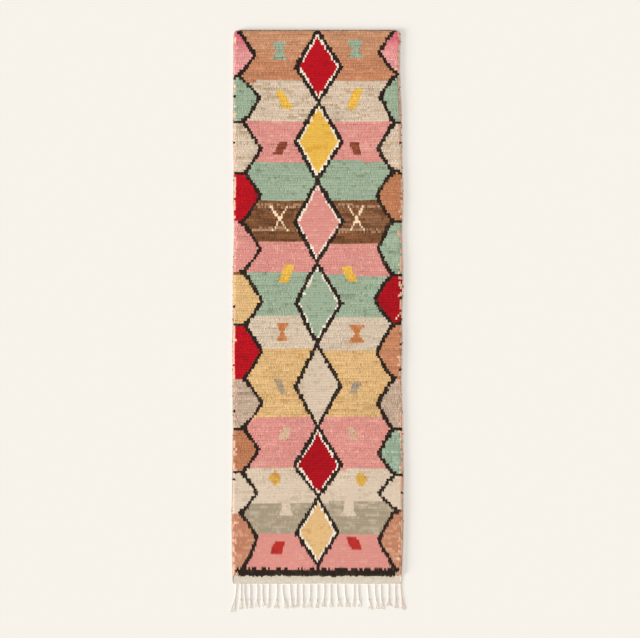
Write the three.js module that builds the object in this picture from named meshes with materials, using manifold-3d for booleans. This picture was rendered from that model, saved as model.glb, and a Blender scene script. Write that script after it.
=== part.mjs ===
// A hand-knotted wool runner lying flat: rows of pile on a woven ground, a flat-woven end strip
// and one fringe of knotted tassels. Millimetres, +Z up, underside at Z = 0.
// The length runs along Y with the fringe at the -Y end, and the width runs along X.

import * as THREE from "three";
import { mergeVertices } from "three/addons/utils/BufferGeometryUtils.js";
import Module from "manifold-3d";

// Driving dimensions. s is the distance down the rug from its upper end.
const pile = {
  length: 2600, // from the upper end to the flat-woven strip
  rows: 215, // rows of knots down the length
  height: 17, // ground and pile together
  relief: 1.7, // from the top of a row to the groove beside it
  lump: 1.4, // slow rise and fall of the pile
  wander: 2.4, // how far a row strays from a straight line
  settle: 60, // stretch at each end over which the rows come straight
  unevenness: 0.5, // from point to point
  columns: 7, // fields across the width
  columnSway: 14, // how far the lines between the fields swing
};
const ground = {
  length: 2630, // pile and flat-woven end strip
  thickness: 4,
  selvedgeHeight: 5,
  underCut: 1.5, // the underside is this much narrower than the overcast edge
};
const rim = {
  cornerRadius: 28,
  shoulderInset: 16, // where the pile starts to round over
  shoulderDrop: 2,
  lockRows: 3, // rows that a lock at the rim takes in
  tip: { inset: 3, height: 11.8 }, // a lock's tip, from the edge and above the floor
  notch: { inset: 9, height: 9.8 }, // the notch beside it
  lockSpread: 2.5, // how much the insets differ from lock to lock
  endLocks: 22, // locks along each end
  endReach: 14, // how far short of the corners the locks of an end stop
  endTeeth: 2.5, // half the depth of the teeth where the pile ends
  edgeStep: 36, // spacing of the points along the overcast edge
  edgeWobble: 1.6,
  endFields: 8, // fields of the edge along each end
};
const heading = { gap: 0.3, width: 7, height: 5, inset: 2, lumps: 8, lumpDepth: 0.14 };
const tassel = {
  cordWidth: 7,
  cordHeight: 5.5,
  cordLength: 78,
  cordBow: 2, // sideways bow halfway down a cord
  knotWidth: 13,
  knotHeight: 10,
  knotLength: 14,
  knotEnd: 0.6, // share of the knot's width and height at its two ends
  strayAtKnot: 0.45, // share of the tassel's stray that the cord takes
  tailWidth: 4.6,
  tailHeight: 4,
  tailTip: 0.55, // share of the tail's width that is left at its end
  tailRagged: 9, // the most that one tail is shorter than the longest
  narrow: 21, // a tuft narrower than this has three tails, and a wider one four
};

// The long sides, measured from the rug's centre line at a distance s from the upper end
const sides = [
  { s: 0, left: 400, right: 396 },
  { s: 160, left: 401, right: 392 },
  { s: 480, left: 402, right: 401 },
  { s: 640, left: 399, right: 404 },
  { s: 820, left: 401, right: 409 },
  { s: 960, left: 398, right: 403 },
  { s: 1200, left: 403, right: 409 },
  { s: 1360, left: 403, right: 403 },
  { s: 1500, left: 406, right: 405 },
  { s: 1690, left: 404, right: 401 },
  { s: 1910, left: 403, right: 408 },
  { s: 2120, left: 406, right: 410 },
  { s: 2330, left: 408, right: 409 },
  { s: 2520, left: 407, right: 404 },
  { s: 2630, left: 404, right: 400 },
];

// One row for each tassel: where its cord leaves the heading, how far the tuft has strayed
// sideways at its end, how long the whole tassel is, and how wide the tuft spreads
const tassels = [
  { root: -384, stray: -21, length: 142, spread: 30 },
  { root: -363, stray: -3, length: 128, spread: 15 },
  { root: -346, stray: 8, length: 123, spread: 13 },
  { root: -320, stray: 2, length: 123, spread: 19 },
  { root: -287, stray: -1, length: 118, spread: 26 },
  { root: -260, stray: 3, length: 113, spread: 14 },
  { root: -229, stray: -7, length: 121, spread: 23 },
  { root: -192, stray: -8, length: 123, spread: 29 },
  { root: -165, stray: 17, length: 123, spread: 23 },
  { root: -129, stray: 11, length: 121, spread: 18 },
  { root: -97, stray: -2, length: 118, spread: 20 },
  { root: -70, stray: 2, length: 121, spread: 17 },
  { root: -35, stray: -4, length: 121, spread: 25 },
  { root: -1, stray: -3, length: 120, spread: 20 },
  { root: 32, stray: -7, length: 116, spread: 25 },
  { root: 62, stray: 1, length: 118, spread: 23 },
  { root: 93, stray: 13, length: 116, spread: 27 },
  { root: 130, stray: 13, length: 116, spread: 27 },
  { root: 172, stray: -3, length: 116, spread: 17 },
  { root: 195, stray: 6, length: 116, spread: 19 },
  { root: 237, stray: 16, length: 128, spread: 25 },
  { root: 273, stray: 12, length: 125, spread: 22 },
  { root: 302, stray: 5, length: 128, spread: 20 },
  { root: 337, stray: 1, length: 113, spread: 29 },
  { root: 371, stray: 2, length: 121, spread: 20 },
  { root: 394, stray: 15, length: 128, spread: 22 },
];

const rowPitch = pile.length / pile.rows;
const totalLength = ground.length + heading.gap + Math.max(...tassels.map((t) => t.length));
const upperEnd = totalLength / 2; // Y of the upper end, so that the origin is at the middle

const mix = (a, b, share) => a + (b - a) * share;
const yAt = (s) => upperEnd - s;

// A steady value from 0 to 1 for each pair of counts, for small unevenness
function uneven(a, b = 0) {
  const wave = Math.sin(a * 12.9898 + b * 78.233 + 4.7) * 43758.5453;
  return wave - Math.floor(wave);
}

// Half width on one side at s, eased between the rows of the table and rounded at the upper corners
function halfWidth(side, s) {
  const last = sides.length - 1;
  let i = 0;
  while (i < last - 1 && sides[i + 1].s < s) i += 1;
  const share = THREE.MathUtils.clamp((s - sides[i].s) / (sides[i + 1].s - sides[i].s), 0, 1);
  const plain = mix(sides[i][side], sides[i + 1][side], share * share * (3 - 2 * share));
  const r = rim.cornerRadius;
  const indent = s < r ? r - Math.sqrt(r * r - (r - s) * (r - s)) : 0;
  return plain - indent;
}

// Slow rise and fall of the pile, and the stray of a row of knots along the length
const lumpAt = (x, s) =>
  (pile.lump / 3) *
  (Math.sin(x / 61 + s / 173) + Math.sin(s / 97 - x / 143 + 1.3) + Math.sin((x + s) / 59 + 0.7));
const strayAt = (x, s) =>
  pile.wander * Math.sin(x / 190 + s / 410) * Math.min(1, s / pile.settle, (pile.length - s) / pile.settle);

// One shell under construction: points, triangles, and the closed loops that bands are sewn between
class Shell {
  constructor() {
    this.points = [];
    this.faces = [];
  }

  point(x, y, z) {
    this.points.push(x, y, z);
    return this.points.length / 3 - 1;
  }

  // Sews a band between two closed loops of { id, t }, the inner one first, both
  // anticlockwise from above, with t growing once round from 0 to 4
  band(inner, outer) {
    let i = 0;
    let j = 0;
    const place = (loop, n) => loop[n % loop.length].t + (n >= loop.length ? 4 : 0);
    const id = (loop, n) => loop[n % loop.length].id;
    while (i < inner.length || j < outer.length) {
      const stepOuter = j < outer.length && (i >= inner.length || place(outer, j + 1) <= place(inner, i + 1));
      if (stepOuter) {
        this.faces.push(id(inner, i), id(outer, j), id(outer, j + 1));
        j += 1;
      } else {
        this.faces.push(id(inner, i), id(outer, j), id(inner, i + 1));
        i += 1;
      }
    }
  }

  geometry() {
    const made = new THREE.BufferGeometry();
    made.setAttribute("position", new THREE.Float32BufferAttribute(this.points, 3));
    made.setIndex(this.faces);
    return made;
  }
}

// A closed loop round the rug, anticlockwise from the upper left corner. Each side is a list of
// [x, s, z]; t runs 0 to 1 down the left side, to 2 along the fringe end, to 3 up the right side,
// and to 4 along the upper end.
function loopOf(shell, { left, lower, right, upper }) {
  const placed = [];
  const down = (s) => THREE.MathUtils.clamp(s / ground.length, 0, 1);
  const across = (x, s) => {
    const l = halfWidth("left", s);
    return THREE.MathUtils.clamp((x + l) / (l + halfWidth("right", s)), 0, 1);
  };
  left.forEach(([x, s, z]) => placed.push({ id: shell.point(x, yAt(s), z), t: down(s) }));
  lower.forEach(([x, s, z]) => placed.push({ id: shell.point(x, yAt(s), z), t: 1 + across(x, s) }));
  right.forEach(([x, s, z]) => placed.push({ id: shell.point(x, yAt(s), z), t: 3 - down(s) }));
  upper.forEach(([x, s, z]) => placed.push({ id: shell.point(x, yAt(s), z), t: 4 - across(x, s) }));
  return placed;
}

// The top of the pile: one line of points on each row of knots and one in each groove between rows
function pileTop(shell) {
  const lines = [];
  for (let n = 1; n < 2 * pile.rows; n += 1) {
    const s = (n * rowPitch) / 2;
    const ridge = n % 2 === 1;
    const from = -halfWidth("left", s) + rim.shoulderInset;
    const to = halfWidth("right", s) - rim.shoulderInset;
    const line = [];
    for (let k = 0; k <= pile.columns; k += 1) {
      const atSide = k === 0 || k === pile.columns;
      const sway = atSide ? 0 : pile.columnSway * Math.sin(s / 90 + 1.9 * k);
      const x = mix(from, to, k / pile.columns) + sway;
      const row = (ridge ? 0.5 : -0.5) * pile.relief;
      const small = pile.unevenness * (uneven(n, k) - 0.5);
      const z = pile.height + lumpAt(x, s) + row + small - (atSide ? rim.shoulderDrop : 0);
      line.push({ id: shell.point(x, yAt(s + (atSide ? 0 : strayAt(x, s))), z), s });
    }
    lines.push(line);
  }
  for (let n = 0; n + 1 < lines.length; n += 1) {
    for (let k = 0; k < pile.columns; k += 1) {
      const [a, b] = [lines[n][k].id, lines[n][k + 1].id];
      const [c, d] = [lines[n + 1][k].id, lines[n + 1][k + 1].id];
      shell.faces.push(a, c, d, a, d, b);
    }
  }
  return lines;
}

// The boundary of the pile's top as a loop, from points that are already in the shell
function shoulderLoop(lines) {
  const down = (point) => point.s / ground.length;
  const inner = (line) =>
    line.slice(1, -1).map((point, k) => ({ id: point.id, share: (k + 1) / pile.columns }));
  const left = lines.map((line) => ({ id: line[0].id, t: down(line[0]) }));
  const lower = inner(lines[lines.length - 1]).map(({ id, share }) => ({ id, t: 1 + share }));
  const right = lines.map((line) => ({ id: line[pile.columns].id, t: 3 - down(line[0]) }));
  const upper = inner(lines[0]).map(({ id, share }) => ({ id, t: 4 - share }));
  return [...left, ...lower, ...right.reverse(), ...upper.reverse()];
}

// Locks of pile down one long side, a tip and then a notch for each
function sideLocks(side, sign) {
  const pitch = rim.lockRows * rowPitch;
  const count = Math.floor(pile.length / pitch);
  const list = [];
  for (let n = 0; n < 2 * count; n += 1) {
    const place = n % 2 === 0 ? rim.tip : rim.notch;
    const s = pitch * (n / 2 + 0.25 + 0.2 * uneven(n, sign));
    const inset = place.inset + rim.lockSpread * (uneven(n, 3 + sign) - 0.5);
    list.push([sign * (halfWidth(side, s) - inset), s, place.height + uneven(n, 5 + sign) - 0.5]);
  }
  return list;
}

// Teeth of pile across one end, around the line at s
function endLocks(s, reach, height) {
  const from = -halfWidth("left", s) + reach;
  const to = halfWidth("right", s) - reach;
  const count = 2 * rim.endLocks;
  const list = [];
  for (let n = 0; n <= count; n += 1) {
    const tooth = rim.endTeeth * (n % 2 === 0 ? 1 : -1) * (0.6 + 0.4 * uneven(n, 9));
    list.push([mix(from, to, n / count), s + tooth, height]);
  }
  return list;
}

// The overcast edge and the outline of the underside share one set of places, a little apart
function edgeLoop(shell, inset, sideZ, endZ) {
  const r = rim.cornerRadius;
  const places = [1, 2, 3].map((n) => r * (1 - Math.cos((n * Math.PI) / 8)));
  const steps = Math.round((ground.length - r) / rim.edgeStep);
  for (let n = 0; n <= steps; n += 1) places.push(mix(r, ground.length, n / steps));
  const side = (name, sign) =>
    places.map((s, n) => {
      const straight = s > r && s < ground.length;
      const wobble = straight ? rim.edgeWobble * (uneven(n, sign + 20) - 0.5) : 0;
      return [sign * (halfWidth(name, s) - inset + wobble), s, s < ground.length ? sideZ : endZ];
    });
  const end = (s, z, reach) => {
    const from = -halfWidth("left", Math.max(s, r)) + reach;
    const to = halfWidth("right", Math.max(s, r)) - reach;
    const list = [];
    for (let n = 1; n < rim.endFields; n += 1) list.push([mix(from, to, n / rim.endFields), s, z]);
    return list;
  };
  return loopOf(shell, {
    left: side("left", -1),
    lower: end(ground.length, endZ, 0),
    right: side("right", 1).reverse(),
    upper: end(inset, sideZ, r).reverse(),
  });
}

// The whole rug but its fringe: one closed shell from the pile to the flat underside
function rugGeometry() {
  const shell = new Shell();
  const shoulder = shoulderLoop(pileTop(shell));
  const locks = loopOf(shell, {
    left: sideLocks("left", -1),
    lower: endLocks(pile.length + rim.endTeeth, rim.notch.inset, ground.thickness + 0.6),
    right: sideLocks("right", 1).reverse(),
    upper: endLocks(2 * rim.endTeeth, rim.endReach, rim.tip.height).reverse(),
  });
  const edge = edgeLoop(shell, 0, ground.selvedgeHeight, ground.thickness);
  const under = edgeLoop(shell, ground.underCut, 0, 0);
  shell.band(shoulder, locks);
  shell.band(locks, edge);
  shell.band(edge, under);
  const outline = under.map(({ id }) => new THREE.Vector2(shell.points[3 * id], shell.points[3 * id + 1]));
  THREE.ShapeUtils.triangulateShape(outline, []).forEach(([a, b, c]) =>
    shell.faces.push(under[a].id, under[c].id, under[b].id),
  );
  return shell.geometry();
}

// A strand that lies on the floor: a section across each point [x, y] of a path, flat below.
// Each section is [half width, height], and corners gives its shape.
function strandGeometry(path, sections, corners) {
  const shell = new Shell();
  const rings = path.map(([x, y], n) => {
    const next = path[Math.min(n + 1, path.length - 1)];
    const before = path[Math.max(n - 1, 0)];
    const along = new THREE.Vector2(next[0] - before[0], next[1] - before[1]).normalize();
    const [half, height] = sections[n];
    return corners.map(([u, v]) => shell.point(x + along.y * u * half, y - along.x * u * half, v * height));
  });
  const m = corners.length;
  for (let n = 0; n + 1 < rings.length; n += 1) {
    for (let k = 0; k < m; k += 1) {
      const l = (k + 1) % m;
      const [a, b, c, d] = [rings[n][k], rings[n][l], rings[n + 1][l], rings[n + 1][k]];
      shell.faces.push(a, b, c, a, c, d);
    }
  }
  const end = rings[rings.length - 1];
  for (let k = 1; k + 1 < m; k += 1) {
    shell.faces.push(rings[0][0], rings[0][k + 1], rings[0][k]);
    shell.faces.push(end[0], end[k], end[k + 1]);
  }
  return shell.geometry();
}

// Corner places of a section as shares of its half width and height, clockwise seen along the path
const cordCorners = [
  [-1, 0],
  [-0.75, 1],
  [0.75, 1],
  [1, 0],
];
const tailCorners = [
  [-1, 0],
  [0, 1],
  [1, 0],
];
const knotCorners = [
  [-0.8, 0],
  [-1, 0.5],
  [0, 1],
  [1, 0.5],
  [0.8, 0],
];

// The pieces of one tassel: its cord, the knot, and the loose tails below it
function tasselPieces(row, index) {
  const rootS = ground.length + heading.gap + heading.width / 2;
  const knotS = rootS + tassel.cordLength;
  const endS = ground.length + heading.gap + row.length;
  const knotX = row.root + tassel.strayAtKnot * row.stray;
  const bow = tassel.cordBow * (uneven(index, 31) > 0.5 ? 1 : -1);
  const cordHalf = tassel.cordWidth / 2;

  const cordPath = [0, 0.55, 1].map((share) => {
    const x = mix(row.root, knotX, share * share) + bow * Math.sin(Math.PI * share);
    return [x, yAt(mix(rootS, knotS, share))];
  });
  const cord = strandGeometry(cordPath, cordPath.map(() => [cordHalf, tassel.cordHeight]), cordCorners);

  const knotHalf = tassel.knotWidth / 2;
  const knotPath = [-0.5, 0, 0.5].map((share) => [knotX, yAt(knotS + share * tassel.knotLength)]);
  const knotEnd = [tassel.knotEnd * knotHalf, tassel.knotEnd * tassel.knotHeight];
  const knotSections = [knotEnd, [knotHalf, tassel.knotHeight], knotEnd];
  const knot = strandGeometry(knotPath, knotSections, knotCorners);

  const places = row.spread < tassel.narrow ? [-1, 0, 1] : [-1, -0.34, 0.34, 1];
  const tailHalf = tassel.tailWidth / 2;
  const tails = places.map((place, n) => {
    const fromX = knotX + 0.3 * place * knotHalf;
    const toX = row.root + row.stray + place * (row.spread / 2 - tailHalf);
    const longest = n === index % 3;
    const toS = endS - (longest ? 0 : tassel.tailRagged * mix(0.3, 1, uneven(index, n + 40)));
    const path = [
      [fromX, yAt(knotS)],
      [mix(fromX, toX, 0.66), yAt(mix(knotS, toS, 0.5))],
      [toX, yAt(toS)],
    ];
    const sections = [
      [0.6 * tailHalf, tassel.tailHeight],
      [tailHalf, tassel.tailHeight],
      [tassel.tailTip * tailHalf, 0.7 * tassel.tailHeight],
    ];
    return strandGeometry(path, sections, tailCorners);
  });
  return [cord, knot, ...tails];
}

// The knotted heading that the tassels are fused to, a narrow strip along the end of the cloth
function headingGeometry() {
  const s = ground.length + heading.gap;
  const from = -halfWidth("left", s) + heading.inset;
  const to = halfWidth("right", s) - heading.inset;
  const path = [];
  const sections = [];
  for (let n = 0; n <= 2 * heading.lumps; n += 1) {
    path.push([mix(from, to, n / (2 * heading.lumps)), yAt(s + heading.width / 2)]);
    sections.push([heading.width / 2, heading.height * (1 - (n % 2) * heading.lumpDepth)]);
  }
  return strandGeometry(path, sections, cordCorners);
}

const wasm = await Module();
wasm.setup();

function solidOf(geometry) {
  const merged = mergeVertices(geometry, 1e-4);
  return new wasm.Manifold(
    new wasm.Mesh({
      numProp: 3,
      vertProperties: merged.attributes.position.array,
      triVerts: new Uint32Array(merged.index.array),
    }),
  );
}

function joined(geometries) {
  const made = wasm.Manifold.union(geometries.map(solidOf)).getMesh();
  const geometry = new THREE.BufferGeometry();
  geometry.setAttribute("position", new THREE.BufferAttribute(made.vertProperties, 3));
  geometry.setIndex(new THREE.BufferAttribute(made.triVerts, 1));
  return geometry;
}

function named(name, geometry, material) {
  geometry.computeVertexNormals();
  const mesh = new THREE.Mesh(geometry, material);
  mesh.name = name;
  return mesh;
}

const pileWool = new THREE.MeshStandardMaterial({ color: 0xc9957c, roughness: 0.95, metalness: 0 });
const creamYarn = new THREE.MeshStandardMaterial({ color: 0xe6dccb, roughness: 0.9, metalness: 0 });

const runner = new THREE.Group();
runner.add(named("rug_body", rugGeometry(), pileWool));
runner.add(named("fringe", joined([headingGeometry(), ...tassels.flatMap(tasselPieces)]), creamYarn));

export default runner;
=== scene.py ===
# A hand-knotted wool runner lying flat, seen from straight above: tufts of pile tied in rows on a
# woven ground, overcast long sides, a flat-woven end strip and a fringe of twisted, knotted cords.
# Sizes in the dictionaries are millimetres; s is the distance down the rug from its upper end.
import math

import bpy
import numpy as np
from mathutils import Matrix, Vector


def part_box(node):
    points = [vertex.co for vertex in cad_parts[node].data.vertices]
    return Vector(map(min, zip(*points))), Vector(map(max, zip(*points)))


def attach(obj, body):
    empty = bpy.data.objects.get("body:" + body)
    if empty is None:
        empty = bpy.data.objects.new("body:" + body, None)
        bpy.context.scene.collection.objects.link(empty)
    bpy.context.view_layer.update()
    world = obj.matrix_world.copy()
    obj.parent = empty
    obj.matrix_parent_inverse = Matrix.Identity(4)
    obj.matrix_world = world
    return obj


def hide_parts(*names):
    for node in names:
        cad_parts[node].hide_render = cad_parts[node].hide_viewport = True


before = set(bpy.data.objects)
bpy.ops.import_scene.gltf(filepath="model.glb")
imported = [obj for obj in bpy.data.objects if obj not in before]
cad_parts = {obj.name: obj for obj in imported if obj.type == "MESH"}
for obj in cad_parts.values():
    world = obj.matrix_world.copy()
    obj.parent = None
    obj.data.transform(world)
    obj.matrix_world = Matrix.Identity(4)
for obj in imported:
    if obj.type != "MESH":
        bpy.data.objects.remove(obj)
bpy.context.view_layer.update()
mm = 0.001
rng = np.random.default_rng(41)
rugLow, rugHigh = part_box("rug_body")
print("frame loaded")


# The rug's outline, read from the overcast edge of the fixed solid
outline = {
    "edgeHeight": 5,
    "endHeight": 4,
    "heightSlack": 0.05,
    "sideFrom": 350,  # the long sides lie further out than this
    "length": (rugHigh.y - rugLow.y) / mm,
    "upperInset": 4.5,  # the wrapped upper end lies this far inside the solid's
    "upperBlend": 80,
}


def sideLine(sign):
    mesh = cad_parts["rug_body"].data
    places = np.zeros(len(mesh.vertices) * 3)
    mesh.vertices.foreach_get("co", places)
    places = places.reshape(-1, 3) / mm
    heights = (outline["edgeHeight"], outline["endHeight"])
    onEdge = np.min([abs(places[:, 2] - h) for h in heights], axis=0) < outline["heightSlack"]
    found = places[onEdge & (sign * places[:, 0] > outline["sideFrom"])]
    down = rugHigh.y / mm - found[:, 1]
    order = np.argsort(down)
    return down[order], found[order, 0]


leftLine = sideLine(-1)
rightLine = sideLine(1)


def onSolid(s):
    # the place on the solid's outline that goes with a place on the yarns' outline
    return s - outline["upperInset"] * np.clip(1 - s / outline["upperBlend"], 0, 1)


def leftEdge(s):
    return np.interp(onSolid(s), *leftLine)


def rightEdge(s):
    return np.interp(onSolid(s), *rightLine)


def inFrame(x, s, z):
    # millimetres on the rug to metres in the part's own frame
    return np.stack([x * mm, rugHigh.y - s * mm, z * mm], axis=-1)


def placed(paths):
    paths = np.array(paths)
    return inFrame(paths[..., 0], paths[..., 1], paths[..., 2])


def linear(hexText):
    # an sRGB hex colour as the linear values that Blender wants
    values = np.array([int(hexText[n:n + 2], 16) / 255 for n in (1, 3, 5)])
    return np.where(values <= 0.04045, values / 12.92, ((values + 0.055) / 1.055) ** 2.4)


def smoothStep(value):
    value = np.clip(value, 0, 1)
    return value * value * (3 - 2 * value)


def mix(start, end, share):
    return start + (end - start) * share


def addNode(tree, kind, settings=None, links=None):
    node = tree.nodes.new(kind)
    for name, value in (settings or {}).items():
        if hasattr(node, name):
            setattr(node, name, value)
        else:
            node.inputs[name].default_value = value
    for name, socket in (links or {}).items():
        tree.links.new(socket, node.inputs[name])
    return node


def newMaterial(name):
    material = bpy.data.materials.new(name)
    material.use_nodes = True
    tree = material.node_tree
    tree.nodes.clear()
    return material, tree


def aroundOne(tree, noise, amount):
    # a noise as a factor a little under and over 1
    node = addNode(
        tree, "ShaderNodeMapRange",
        {"From Min": 0.3, "From Max": 0.7, "To Min": 1 - amount, "To Max": 1 + amount},
        {"Value": noise.outputs["Fac"]},
    )
    return node.outputs["Result"]


def product(tree, one, other):
    node = addNode(tree, "ShaderNodeMath", {"operation": "MULTIPLY"})
    tree.links.new(one, node.inputs[0])
    tree.links.new(other, node.inputs[1])
    return node.outputs["Value"]


# Wool yarn, carded and hand-spun, cut as pile or plied: a dry matt surface with a soft bright edge
# where loose fibres catch the light, a little uneven from tuft to tuft, and with painted shade
# towards its root, where the strands shade each other.
yarnFinish = {
    "roughness": 0.93,
    "specular": 0.12,
    "sheen": 0.06,
    "sheenRoughness": 0.5,
    "mottleSize": 16,  # cloudiness of the dye bath
    "fibreWidth": 0.6,  # real fibres are 0.03 mm wide, drawn as coarse locks so that they show
    "fibreLength": 9,
    "fibreDepth": 0.35,
    "fibreShade": 0.09,
}


def yarnMaterial(name, meanHex, mottle, rootPaintedShade=0.8, rootEnd=0.3, runsAcross=False):
    # mottle is how cloudy the dye is, and rootPaintedShade how dark the painted shade makes a strand's
    # root, up to rootEnd of its length. A yarn that runsAcross lies across the rug and not along it.
    material, tree = newMaterial(name)
    place = addNode(tree, "ShaderNodeTexCoord")
    dye = addNode(tree, "ShaderNodeAttribute", {"attribute_name": "dye"})
    fromRoot = addNode(tree, "ShaderNodeAttribute", {"attribute_name": "along"})
    cloud = addNode(
        tree, "ShaderNodeTexNoise",
        {"Scale": 1 / (yarnFinish["mottleSize"] * mm), "Detail": 3, "Roughness": 0.6},
        {"Vector": place.outputs["Object"]},
    )
    # painted shade: each strand darker towards its root, where the strands shade each other
    rootShadow = addNode(
        tree, "ShaderNodeMapRange",
        {"From Min": 0, "From Max": rootEnd, "To Min": rootPaintedShade, "To Max": 1},
        {"Value": fromRoot.outputs["Fac"]},
    )
    fine = 1 / (yarnFinish["fibreWidth"] * mm)
    along = 1 / (yarnFinish["fibreLength"] * mm)
    stretch = addNode(
        tree, "ShaderNodeMapping",
        {"Scale": (along, fine, fine) if runsAcross else (fine, along, fine)},
        {"Vector": place.outputs["Object"]},
    )
    fibre = addNode(
        tree, "ShaderNodeTexNoise", {"Scale": 1, "Detail": 2}, {"Vector": stretch.outputs["Vector"]}
    )
    soft = product(
        tree, aroundOne(tree, cloud, mottle), aroundOne(tree, fibre, yarnFinish["fibreShade"])
    )
    colour = addNode(
        tree, "ShaderNodeVectorMath", {"operation": "SCALE"},
        {"Vector": dye.outputs["Color"], "Scale": product(tree, soft, rootShadow.outputs["Result"])},
    )
    bump = addNode(
        tree, "ShaderNodeBump",
        {"Strength": 0.5, "Distance": yarnFinish["fibreDepth"] * mm},
        {"Height": fibre.outputs["Fac"]},
    )
    shader = addNode(
        tree, "ShaderNodeBsdfPrincipled",
        {
            "Base Color": (*linear(meanHex), 1),
            "Roughness": yarnFinish["roughness"],
            "Specular IOR Level": yarnFinish["specular"],
            "Sheen Weight": yarnFinish["sheen"],
            "Sheen Roughness": yarnFinish["sheenRoughness"],
        },
        {"Base Color": colour.outputs["Vector"], "Normal": bump.outputs["Normal"]},
    )
    addNode(tree, "ShaderNodeOutputMaterial", {}, {"Surface": shader.outputs["BSDF"]})
    return material


def addPiece(name, points, faceSets, material, values=None, uv=None):
    mesh = bpy.data.meshes.new(name)
    corners = np.concatenate([faces.ravel() for faces in faceSets]).astype(np.int32)
    sizes = np.concatenate([np.full(len(faces), faces.shape[1]) for faces in faceSets])
    starts = np.concatenate([[0], np.cumsum(sizes)[:-1]]).astype(np.int32)
    mesh.vertices.add(len(points))
    mesh.vertices.foreach_set("co", points.astype(np.float32).ravel())
    mesh.loops.add(len(corners))
    mesh.loops.foreach_set("vertex_index", corners)
    mesh.polygons.add(len(sizes))
    mesh.polygons.foreach_set("loop_start", starts)
    mesh.polygons.foreach_set("use_smooth", np.ones(len(sizes), bool))
    for label, numbers in (values or {}).items():
        if numbers.ndim == 2:
            layer = mesh.attributes.new(label, "FLOAT_COLOR", "POINT")
            rgba = np.concatenate([numbers, np.ones((len(numbers), 1))], axis=1)
            layer.data.foreach_set("color", rgba.astype(np.float32).ravel())
        else:
            layer = mesh.attributes.new(label, "FLOAT", "POINT")
            layer.data.foreach_set("value", numbers.astype(np.float32))
    if uv is not None:
        layer = mesh.uv_layers.new(name="OFBake")
        layer.uv.foreach_set("vector", uv[corners].astype(np.float32).ravel())
    mesh.update(calc_edges=True)
    mesh.validate()
    piece = bpy.data.objects.new(name, mesh)
    bpy.context.scene.collection.objects.link(piece)
    piece.data.materials.append(material)
    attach(piece, "root")
    return piece


# Corners of a strand's section as shares of its half width and height. Seen against the strand's
# run they go round one way, so that every face looks out.
sections = {
    "tuft": [(-1, -0.6), (1, -0.6), (0, 1)],
    "wrap": [(-1, -0.7), (1, -0.7), (0.7, 0.8), (-0.7, 0.8)],
    "yarn": [(-0.7, -0.7), (0.7, -0.7), (0.7, 0.7), (-0.7, 0.7)],
    "ply": [(math.cos(n * math.tau / 6), math.sin(n * math.tau / 6)) for n in range(6)],
}


# Margins of each strand's own cell in the strands' map, as shares of the cell
cell = {"side": 0.1, "end": 0.14, "cap": 0.08}


def makeStrands(paths, half, height, section, roll=None, away=(0, 0, 1)):
    # paths (strands, rings, 3) are centre lines; half and height are each ring's half sizes.
    # Returns points, faces, map places, each point's share along its strand and its strand.
    count, rings, _ = paths.shape
    corners = np.array(sections[section])
    k = len(corners)
    run = np.gradient(paths, axis=1)
    run /= np.maximum(np.linalg.norm(run, axis=2, keepdims=True), 1e-9)
    side = np.cross(run, np.array(away, float))
    side /= np.maximum(np.linalg.norm(side, axis=2, keepdims=True), 1e-9)
    up = np.cross(side, run)
    if roll is not None:
        turn = np.broadcast_to(roll.reshape(count, -1, 1), side.shape[:2] + (1,))
        side, up = (
            side * np.cos(turn) + up * np.sin(turn),
            up * np.cos(turn) - side * np.sin(turn),
        )
    half = np.broadcast_to(half, (count, rings))[:, :, None, None]
    height = np.broadcast_to(height, (count, rings))[:, :, None, None]
    across = corners[:, 0].reshape(1, 1, k, 1)
    over = corners[:, 1].reshape(1, 1, k, 1)
    points = paths[:, :, None] + side[:, :, None] * half * across + up[:, :, None] * height * over
    ids = np.arange(count * rings * k).reshape(count, rings, k)
    after = np.roll(ids, -1, axis=2)
    sideFaces = np.stack([ids[:, :-1], ids[:, 1:], after[:, 1:], after[:, :-1]], axis=-1)
    caps = np.concatenate([ids[:, 0], ids[:, -1, ::-1]])
    share = np.linspace(0, 1, rings)
    grid = math.ceil(math.sqrt(count))
    cellX = (np.arange(count) % grid)[:, None, None]
    cellY = (np.arange(count) // grid)[:, None, None]
    bulge = np.zeros((1, rings, k))
    bulge[0, 0] = -cell["cap"] * (corners[:, 1] > 0)
    bulge[0, -1] = cell["cap"] * (corners[:, 1] > 0)
    left, right = cell["side"], 1 - cell["side"]
    around = np.linspace(left, right, k) if k > 3 else np.array([left, right, 0.5])
    u = (cellX + np.broadcast_to(around, (count, rings, k))) / grid
    v = (cellY + mix(cell["end"], 1 - cell["end"], share.reshape(1, rings, 1)) + bulge) / grid
    uv = np.stack([u, np.broadcast_to(v, u.shape)], axis=-1).reshape(-1, 2)
    shares = np.broadcast_to(share.reshape(1, rings, 1), (count, rings, k)).ravel()
    owner = np.repeat(np.arange(count), rings * k)
    return points.reshape(-1, 3), [sideFaces.reshape(-1, 4), caps], uv, shares, owner


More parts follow.
